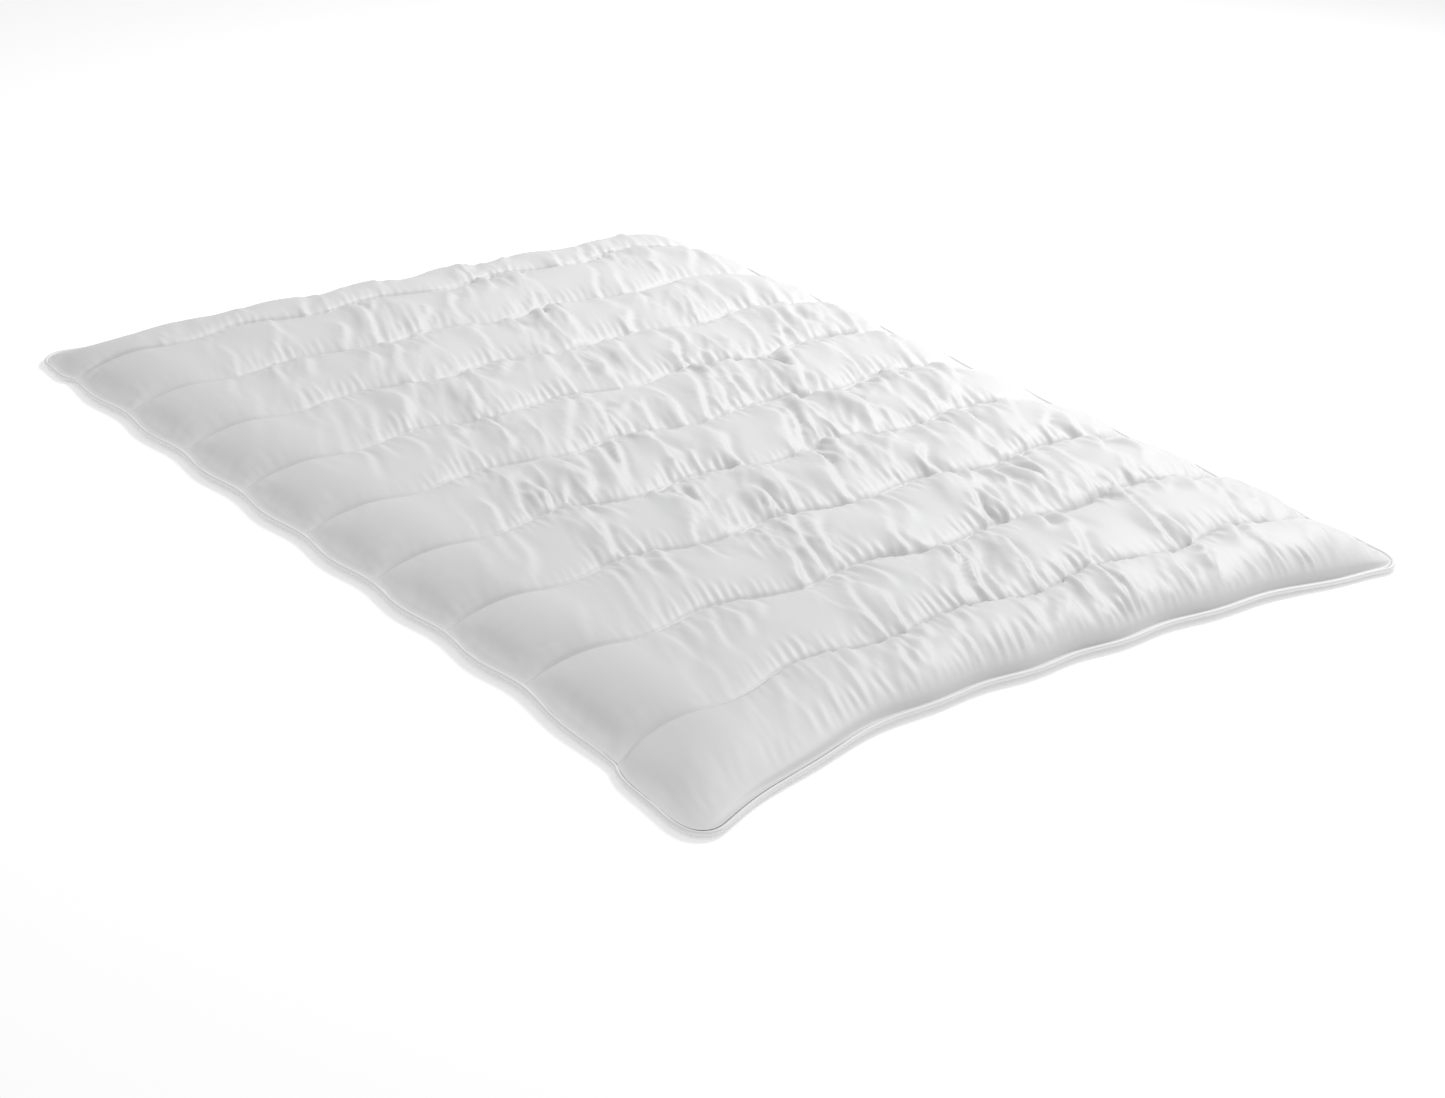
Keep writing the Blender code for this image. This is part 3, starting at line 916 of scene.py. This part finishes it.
class DUVET_OT_channel_fills(bpy.types.Operator):
    """Makes the ten pads of soft filling, one in each channel"""

    bl_idname = "duvet.channel_fills"
    bl_label = "Channel fillings"

    def execute(self, context):
        material = loose_fibre("loose filling", tuple(context.scene.duvet_colours.filling))
        for number in range(1, CHANNELS + 1):
            node = f"channel_fill_{number:02d}"
            obj = self.soften(node, f"fibre_filling_{number:02d}", seed=number)
            dress(obj, material)
            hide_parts(node)
            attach(obj, HEAD_BODY if number <= CHANNELS // 2 else FOOT_BODY)
        return {"FINISHED"}

    def soften(self, node, name, seed):
        """A rounder, tufted copy of the plain pad, kept clear of the creased covers."""
        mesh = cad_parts[node].data.copy()
        mesh.name = name
        obj = bpy.data.objects.new(name, mesh)
        bpy.context.scene.collection.objects.link(obj)
        bm = bmesh.new()
        bm.from_mesh(mesh)
        bmesh.ops.remove_doubles(bm, verts=bm.verts[:], dist=0.0001)
        bmesh.ops.join_triangles(
            bm,
            faces=bm.faces[:],
            angle_face_threshold=math.radians(60),
            angle_shape_threshold=math.radians(60),
        )
        bm.to_mesh(mesh)
        bm.free()
        select_only(obj)
        rounding = obj.modifiers.new("rounding", "SUBSURF")
        rounding.levels = rounding.render_levels = 2
        bpy.ops.object.modifier_apply(modifier=rounding.name)
        points = np.empty(len(mesh.vertices) * 3)
        mesh.vertices.foreach_get("co", points)
        points = points.reshape(-1, 3)
        low = points[:, 2].min()
        chance = np.random.default_rng(seed)
        turns = chance.uniform(40, 90, (4, 2))
        phases = chance.uniform(0, 2 * np.pi, 4)
        tufts = sum(np.sin(points[:, :2] @ t + p) for t, p in zip(turns, phases, strict=True))
        height = FILL_SHARE + TUFT_SHARE * tufts
        points[:, 2] = low + FILL_LIFT + (points[:, 2] - low) * height
        x, y = plain_of(points[:, 0], points[:, 1])
        above, below = top_height(x, y), bottom_height(x, y)
        middle = (above + below) / 2
        lowest = np.minimum(below + FILL_CLEAR_BELOW, middle)
        highest = np.maximum(above - FILL_CLEAR_ABOVE, middle)
        points[:, 2] = np.clip(points[:, 2], lowest, highest)
        mesh.vertices.foreach_set("co", points.ravel())
        mesh.update()
        mesh.shade_smooth()
        return obj


class DUVET_OT_quilting_threads(bpy.types.Operator):
    """Makes the two threads of each quilting seam, stitch by stitch"""

    bl_idname = "duvet.quilting_threads"
    bl_label = "Quilting threads"

    def execute(self, context):
        sizes = context.scene.duvet_sizes
        colour = tuple(context.scene.duvet_colours.thread)
        material = spun_thread("quilting thread", colour, 0.0005)
        reach = HALF_WIDTH - FLANGE
        steps = int(2 * reach / sizes.stitch_length * POINTS_PER_STITCH)
        x = np.linspace(-reach, reach, steps)
        stitch = (x + reach) / sizes.stitch_length
        dip = np.where(stitch % 1.0 < STITCH_SHARE, 0.0, 1.0)
        dip = np.convolve(dip, [0.25, 0.5, 0.25], mode="same")
        for number, seam in enumerate(reversed(seam_places()), 1):
            y = np.full_like(x, seam)
            plan = on_plan(x, y, COVER_INSET)
            body = HEAD_BODY if number <= SEAMS // 2 else FOOT_BODY
            for side, height, up in (("top", top_height, 1), ("bottom", bottom_height, -1)):
                z = height(x, y) + up * THREAD_RADIUS * (1.2 - 1.6 * dip)
                obj = self.make_thread(f"stitches_{side}_{number}", plan, z)
                dress(obj, material)
                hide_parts(f"quilting_thread_{side}_{number}")
                if number == SEAMS // 2 + 1:
                    across_fold(obj)
                else:
                    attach(obj, body)
        return {"FINISHED"}

    def make_thread(self, name, plan, z):
        """A thread with four sides that rises on each stitch and dips into the cloth between."""
        line = np.stack([plan[0], plan[1], z], axis=-1)
        sides = 4
        angle = np.arange(sides) * 2 * np.pi / sides + np.pi / 4
        out = np.stack([np.zeros(sides), np.cos(angle), np.sin(angle)], axis=-1)
        points = line[:, None, :] + THREAD_RADIUS * out[None, :, :]
        faces = ring_faces(len(line), sides, closed_section=True, closed_line=False)
        obj = add_mesh(name, points.reshape(-1, 3), faces)
        bm = bmesh.new()
        bm.from_mesh(obj.data)
        bmesh.ops.holes_fill(bm, edges=bm.edges[:], sides=sides)
        bmesh.ops.recalc_face_normals(bm, faces=bm.faces[:])
        bm.to_mesh(obj.data)
        bm.free()
        obj.data.shade_smooth()
        along = np.repeat(plan[0], sides)
        lay_uv(obj, along, np.tile(np.arange(sides) * 0.0005, len(line)))
        return obj


class DUVET_OT_piping(bpy.types.Operator):
    """Makes the corded edge: the cord, and the strip of cotton wrapped round it"""

    bl_idname = "duvet.piping"
    bl_label = "Piping"

    def execute(self, context):
        colours = context.scene.duvet_colours
        line_x, line_y = self.edge_line(EDGE_STEP)
        plan = on_plan(line_x, line_y)
        path = np.stack([plan[0], plan[1], edge_lift(line_x, line_y)], axis=-1)
        legs = np.stack(on_plan(line_x, line_y, LEG_INSET), axis=-1)
        chance = np.random.default_rng(5)
        self.make_cord(path, colours)
        self.make_sleeve(path, legs, chance, colours)
        return {"FINISHED"}

    def edge_line(self, step):
        """Points of the plain rectangle's edge, once round against the clock."""
        across = np.linspace(-HALF_WIDTH, HALF_WIDTH, round(WIDTH / step) + 1)
        along = np.linspace(-HALF_LENGTH, HALF_LENGTH, round(2 * HALF_LENGTH / step) + 1)
        low, high = np.full_like(across, -HALF_LENGTH), np.full_like(across, HALF_LENGTH)
        left, right = np.full_like(along, -HALF_WIDTH), np.full_like(along, HALF_WIDTH)
        line_x = np.concatenate([across[:-1], right[:-1], across[::-1][:-1], left[:-1]])
        line_y = np.concatenate([low[:-1], along[:-1], high[:-1], along[::-1][:-1]])
        return line_x, line_y

    def outward(self, path):
        ahead = np.roll(path, -1, axis=0) - np.roll(path, 1, axis=0)
        ahead[:, 2] = 0.0
        ahead /= np.linalg.norm(ahead, axis=1, keepdims=True)
        return np.stack([ahead[:, 1], -ahead[:, 0], np.zeros(len(path))], axis=-1)

    def length_along(self, path):
        steps = np.linalg.norm(np.diff(path, axis=0, append=path[:1]), axis=1)
        return np.concatenate([[0.0], np.cumsum(steps)[:-1]]), steps.sum()

    def make_cord(self, path, colours):
        """Three twisted strands, seen as a lobed section that turns along the cord."""
        sides, strands, lay_length = 10, 3, 0.024
        so_far, total = self.length_along(path)
        turns = round(total / lay_length)
        angle = np.arange(sides) * 2 * np.pi / sides
        twist = 2 * np.pi * turns * so_far / total
        lobes = np.cos(strands * (angle[None, :] - twist[:, None]))
        radius = CORD_RADIUS * (0.93 + 0.06 * lobes)
        out = self.outward(path)
        points = path[:, None, :] + (radius * np.cos(angle))[:, :, None] * out[:, None, :]
        points[:, :, 2] += radius * np.sin(angle)
        faces = ring_faces(len(path), sides, closed_section=True, closed_line=True)
        obj = add_mesh("twisted_piping_cord", points.reshape(-1, 3), faces)
        lay_uv(obj, np.repeat(so_far, sides), np.tile(angle * CORD_RADIUS, len(path)))
        dress(obj, spun_thread("piping cord cotton", tuple(colours.filling), 0.003))
        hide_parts("piping_cord")
        across_fold(obj)

    def make_sleeve(self, path, legs, chance, colours):
        """The roll round the cord, rippled where the strip was drawn tight, and its legs."""
        steps, leg, ripple_length = 12, 0.0004, 0.013
        turn = math.asin(leg / ROLL_RADIUS)
        angle = np.pi - turn - np.arange(steps + 1) * 2 * (np.pi - turn) / steps
        so_far, total = self.length_along(path)
        ripple = soft_noise(chance, (len(path), 8), 2.0, 1.6)[:, 0]
        slant = np.sin(2 * np.pi * so_far / total * round(total / ripple_length))
        radius = ROLL_RADIUS * (1 + 0.030 * ripple + 0.025 * slant)
        out = self.outward(path)
        roll = path[:, None, :] + (radius[:, None] * np.cos(angle))[:, :, None] * out[:, None, :]
        roll[:, :, 2] += radius[:, None] * np.sin(angle)
        upper, lower = path.copy(), path.copy()
        upper[:, :2] = lower[:, :2] = legs
        upper[:, 2] += leg
        lower[:, 2] -= leg
        points = np.concatenate([upper[:, None], roll, lower[:, None]], axis=1)
        sides = points.shape[1]
        faces = ring_faces(len(path), sides, closed_section=False, closed_line=True)
        obj = add_mesh("cotton_piping_sleeve", points.reshape(-1, 3), faces)
        section = np.linalg.norm(np.diff(points, axis=1), axis=2)
        wide = np.concatenate([[0.0], np.cumsum(np.median(section, axis=0))])
        lay_uv(obj, np.repeat(so_far, sides), np.tile(wide, len(path)))
        # painted light: the strip's lighter colour stands in for light falling on the roll; the
        # cloth is the covers' cotton
        colour = tuple(colours.piping)
        cotton = woven_cotton("satin cotton piping", colour, PIPING_WEAVE, bump=0.2)
        dress(obj, cotton)
        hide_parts("piping_sleeve")
        across_fold(obj)


FLOOR_SIZE = 60.0
FLOOR_GLOW = 0.22
ROOM_LIGHT = 0.62
KEY_PLACE = (2.3, 0.2, 2.4)
KEY_AIM = (0.2, 0.1, 0.0)
KEY_WIDTH = 1.3
KEY_POWER = 74.0
CAMERA_PLACE = (-2.530, -3.409, 1.724)
CAMERA_TURN = (66.186, -1.826, -36.832)  # degrees
CAMERA_LENS = 68.43


class DUVET_OT_stage(bpy.types.Operator):
    """Sets the floor, the light and the camera"""

    bl_idname = "duvet.stage"
    bl_label = "Stage"

    def execute(self, context):
        self.make_floor(tuple(context.scene.duvet_colours.floor))
        self.make_world()
        self.make_light()
        self.make_camera()
        context.scene.view_settings.view_transform = "Standard"
        return {"FINISHED"}

    def make_floor(self, colour):
        bpy.ops.object.select_all(action="DESELECT")
        bpy.ops.mesh.primitive_plane_add(size=FLOOR_SIZE, location=(0, 0, 0))
        floor = bpy.context.active_object
        floor.name = "floor"
        floor.data.transform(floor.matrix_world)
        material, tree, shader = new_material("studio floor", colour, 0.9, specular=0.1)
        shader.inputs["Emission Color"].default_value = (1.0, 1.0, 1.0, 1.0)
        shader.inputs["Emission Strength"].default_value = FLOOR_GLOW
        where = add_node(tree, "ShaderNodeTexCoord").outputs["Object"]
        clouds = add_node(tree, "ShaderNodeTexNoise", Scale=0.7, Detail=2.0)
        tree.links.new(where, clouds.inputs["Vector"])
        shade(tree, shader, clouds.outputs["Fac"], 0.99, colour)
        floor.data.materials.append(material)

    def make_world(self):
        world = bpy.data.worlds.new("studio")
        bpy.context.scene.world = world
        world.use_nodes = True
        background = world.node_tree.nodes["Background"]
        background.inputs["Color"].default_value = (1.0, 1.0, 1.0, 1.0)
        background.inputs["Strength"].default_value = ROOM_LIGHT

    def make_light(self):
        light = bpy.data.lights.new("key", "AREA")
        light.shape = "SQUARE"
        light.size = KEY_WIDTH
        light.energy = KEY_POWER
        obj = bpy.data.objects.new("key", light)
        bpy.context.scene.collection.objects.link(obj)
        obj.location = KEY_PLACE
        aim = Vector(KEY_AIM) - obj.location
        obj.rotation_euler = aim.to_track_quat("-Z", "Y").to_euler()

    def make_camera(self):
        camera = bpy.data.cameras.new("camera")
        camera.sensor_width = 36.0
        camera.lens = CAMERA_LENS
        obj = bpy.data.objects.new("camera", camera)
        obj.location = CAMERA_PLACE
        obj.rotation_euler = [math.radians(turn) for turn in CAMERA_TURN]
        bpy.context.scene.collection.objects.link(obj)
        bpy.context.scene.camera = obj


class DUVET_PT_panel(bpy.types.Panel):
    """The duvet's pieces and their settings"""

    bl_idname = "DUVET_PT_panel"
    bl_label = "Duvet"
    bl_space_type = "VIEW_3D"
    bl_region_type = "UI"
    bl_category = "Duvet"

    def draw(self, context):
        layout = self.layout
        for group in (context.scene.duvet_sizes, context.scene.duvet_colours):
            column = layout.column()
            for label in group.__annotations__:
                column.prop(group, label)
        for maker in MAKERS:
            layout.operator(maker.bl_idname)


GROUPS = (DuvetSizes, DuvetColours)
MAKERS = (
    DUVET_OT_stage,
    DUVET_OT_top_cover,
    DUVET_OT_bottom_cover,
    DUVET_OT_channel_fills,
    DUVET_OT_quilting_threads,
    DUVET_OT_piping,
)
CLASSES = (*GROUPS, *MAKERS, DUVET_PT_panel)


def register():
    for item in CLASSES:
        bpy.utils.register_class(item)
    bpy.types.Scene.duvet_sizes = bpy.props.PointerProperty(type=DuvetSizes)
    bpy.types.Scene.duvet_colours = bpy.props.PointerProperty(type=DuvetColours)


def unregister():
    del bpy.types.Scene.duvet_colours
    del bpy.types.Scene.duvet_sizes
    for item in reversed(CLASSES):
        bpy.utils.unregister_class(item)


def main():
    register()
    bpy.ops.duvet.stage()
    bpy.ops.duvet.top_cover()
    bpy.ops.duvet.bottom_cover()
    bpy.ops.duvet.channel_fills()
    bpy.ops.duvet.quilting_threads()
    bpy.ops.duvet.piping()


if __name__ == "__main__":
    main()
